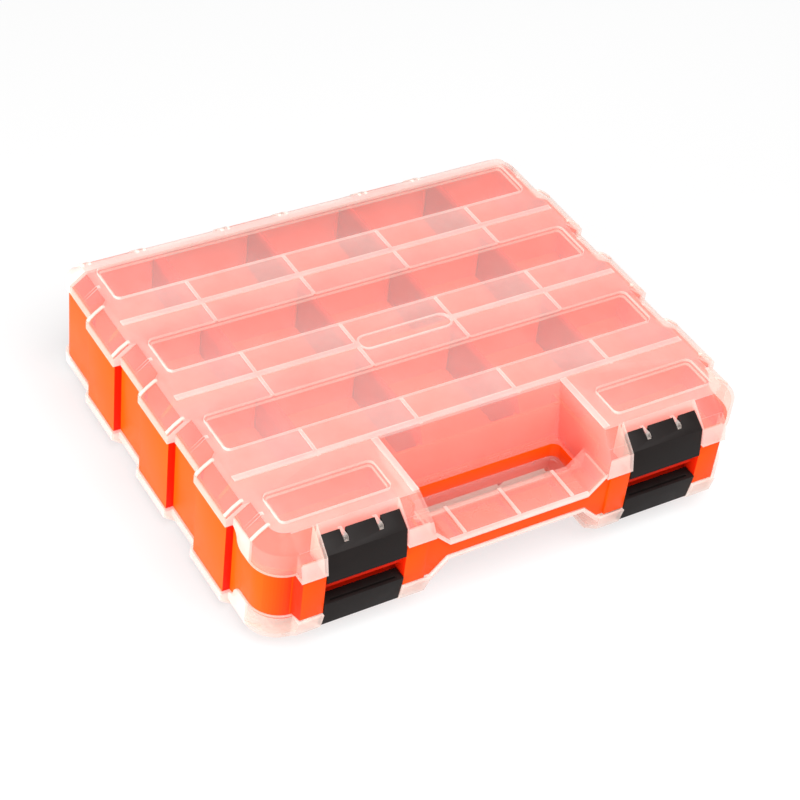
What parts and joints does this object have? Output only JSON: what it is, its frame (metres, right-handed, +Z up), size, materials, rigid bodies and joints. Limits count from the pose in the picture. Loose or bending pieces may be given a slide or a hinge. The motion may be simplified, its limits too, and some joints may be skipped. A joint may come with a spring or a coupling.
{
  "type": "double-sided hardware box",
  "caption": "Flat carrying box for small hardware: a shared orange tray open on both faces, a hinged see-through lid on each face, loose dividers, snap latches and a handle slot.",
  "frame": {"origin": "middle of the base, on the plane of the bottom lid's raised windows", "axes": "+X along the latches to the right, +Y from the latches to the hinges, +Z up from the bottom lid to the top lid"},
  "size_m": [0.3186, 0.2764, 0.08],
  "materials": {
    "orange_polypropylene": "moulded, satin",
    "translucent_polypropylene": "moulded, frosted with clear windows",
    "black_polypropylene": "moulded, fine grain",
    "steel_wire": "drawn"
  },
  "bodies": {
    "tray": {"tray_handle": "orange_polypropylene", "tray_back": "orange_polypropylene", "tray_left": "orange_polypropylene", "tray_right": "orange_polypropylene", "tray_floor": "orange_polypropylene", "top_row_wall_1": "orange_polypropylene", "bottom_row_wall_1": "orange_polypropylene", "top_row_wall_2": "orange_polypropylene", "bottom_row_wall_2": "orange_polypropylene", "top_front_row_wall_left": "orange_polypropylene", "bottom_front_row_wall_left": "orange_polypropylene", "top_front_row_wall_right": "orange_polypropylene", "bottom_front_row_wall_right": "orange_polypropylene", "top_hinge_pin_1": "steel_wire", "bottom_hinge_pin_1": "steel_wire", "top_hinge_pin_2": "steel_wire", "bottom_hinge_pin_2": "steel_wire", "top_hinge_pin_3": "steel_wire", "bottom_hinge_pin_3": "steel_wire", "top_divider_1_1": "orange_polypropylene", "bottom_divider_1_1": "orange_polypropylene", "top_divider_1_2": "orange_polypropylene", "bottom_divider_1_2": "orange_polypropylene", "top_divider_1_3": "orange_polypropylene", "bottom_divider_1_3": "orange_polypropylene", "top_divider_1_4": "orange_polypropylene", "bottom_divider_1_4": "orange_polypropylene", "top_divider_2_1": "orange_polypropylene", "bottom_divider_2_1": "orange_polypropylene", "top_divider_2_2": "orange_polypropylene", "bottom_divider_2_2": "orange_polypropylene", "top_divider_2_3": "orange_polypropylene", "bottom_divider_2_3": "orange_polypropylene", "top_divider_2_4": "orange_polypropylene", "bottom_divider_2_4": "orange_polypropylene", "top_divider_3_1": "orange_polypropylene", "bottom_divider_3_1": "orange_polypropylene", "top_divider_3_2": "orange_polypropylene", "bottom_divider_3_2": "orange_polypropylene", "top_divider_3_3": "orange_polypropylene", "bottom_divider_3_3": "orange_polypropylene", "top_divider_3_4": "orange_polypropylene", "bottom_divider_3_4": "orange_polypropylene"},
    "top_lid": {"top_lid": "translucent_polypropylene"},
    "bottom_lid": {"bottom_lid": "translucent_polypropylene"},
    "upper_left_latch": {"upper_left_latch": "black_polypropylene"},
    "upper_right_latch": {"upper_right_latch": "black_polypropylene"},
    "lower_left_latch": {"lower_left_latch": "black_polypropylene"},
    "lower_right_latch": {"lower_right_latch": "black_polypropylene"}
  },
  "joints": [
    {"name": "top_lid_hinge", "type": "hinge", "parent": "tray", "child": "top_lid", "pos_m": [0, 0.13498, 0.065], "axis": [-1, 0, 0], "range_deg": [0, 120]},
    {"name": "bottom_lid_hinge", "type": "hinge", "parent": "tray", "child": "bottom_lid", "pos_m": [0, 0.13498, 0.015], "axis": [1, 0, 0], "range_deg": [0, 120]},
    {"name": "upper_left_latch_hinge", "type": "hinge", "parent": "top_lid", "child": "upper_left_latch", "pos_m": [-0.097, -0.12768, 0.0676], "axis": [-1, 0, 0], "range_deg": [0, 95]},
    {"name": "upper_right_latch_hinge", "type": "hinge", "parent": "top_lid", "child": "upper_right_latch", "pos_m": [0.097, -0.12768, 0.0676], "axis": [-1, 0, 0], "range_deg": [0, 95]},
    {"name": "lower_left_latch_hinge", "type": "hinge", "parent": "bottom_lid", "child": "lower_left_latch", "pos_m": [-0.097, -0.12768, 0.0124], "axis": [1, 0, 0], "range_deg": [0, 95]},
    {"name": "lower_right_latch_hinge", "type": "hinge", "parent": "bottom_lid", "child": "lower_right_latch", "pos_m": [0.097, -0.12768, 0.0124], "axis": [1, 0, 0], "range_deg": [0, 95]}
  ]
}
